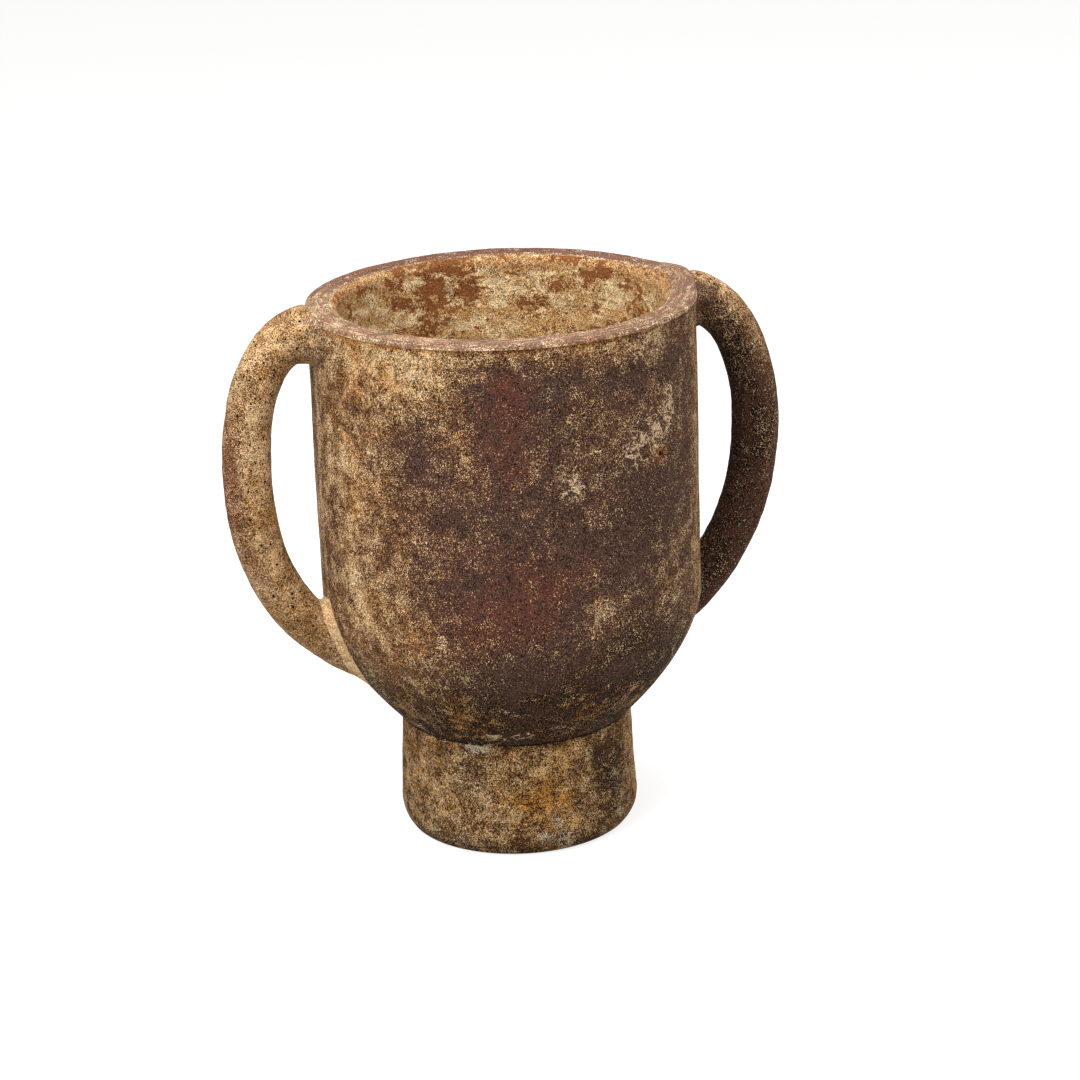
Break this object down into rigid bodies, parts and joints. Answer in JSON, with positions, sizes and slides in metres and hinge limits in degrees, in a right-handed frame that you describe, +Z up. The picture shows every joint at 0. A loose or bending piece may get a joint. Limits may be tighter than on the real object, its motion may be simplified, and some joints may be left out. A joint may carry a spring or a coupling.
{
  "type": "terracotta vase",
  "caption": "Terracotta vase with side handles, a straight wall, a rounded bowl and a hollow foot, for standing on a floor or table to hold flowers or other things.",
  "frame": {"origin": "centre of the foot's underside, on the surface the vase stands on", "axes": "+Z up, +X through the right handle, +Y to the back of the side that the picture shows"},
  "size_m": [0.4156, 0.28, 0.4074],
  "materials": {
    "body_clay": "matte, gritty, antiqued dark brown",
    "handle_clay": "matte, porous, tan over brown",
    "lute_clay": "matte, smeared, cream tan"
  },
  "bodies": {
    "root": {"foot_ring": "body_clay", "foot_lute": "lute_clay", "bowl": "body_clay", "wall_section": "body_clay", "rim_coil": "body_clay", "left_handle": "handle_clay", "right_handle": "handle_clay", "left_upper_lute": "lute_clay", "left_lower_lute": "lute_clay", "right_upper_lute": "lute_clay", "right_lower_lute": "lute_clay"}
  },
  "joints": []
}
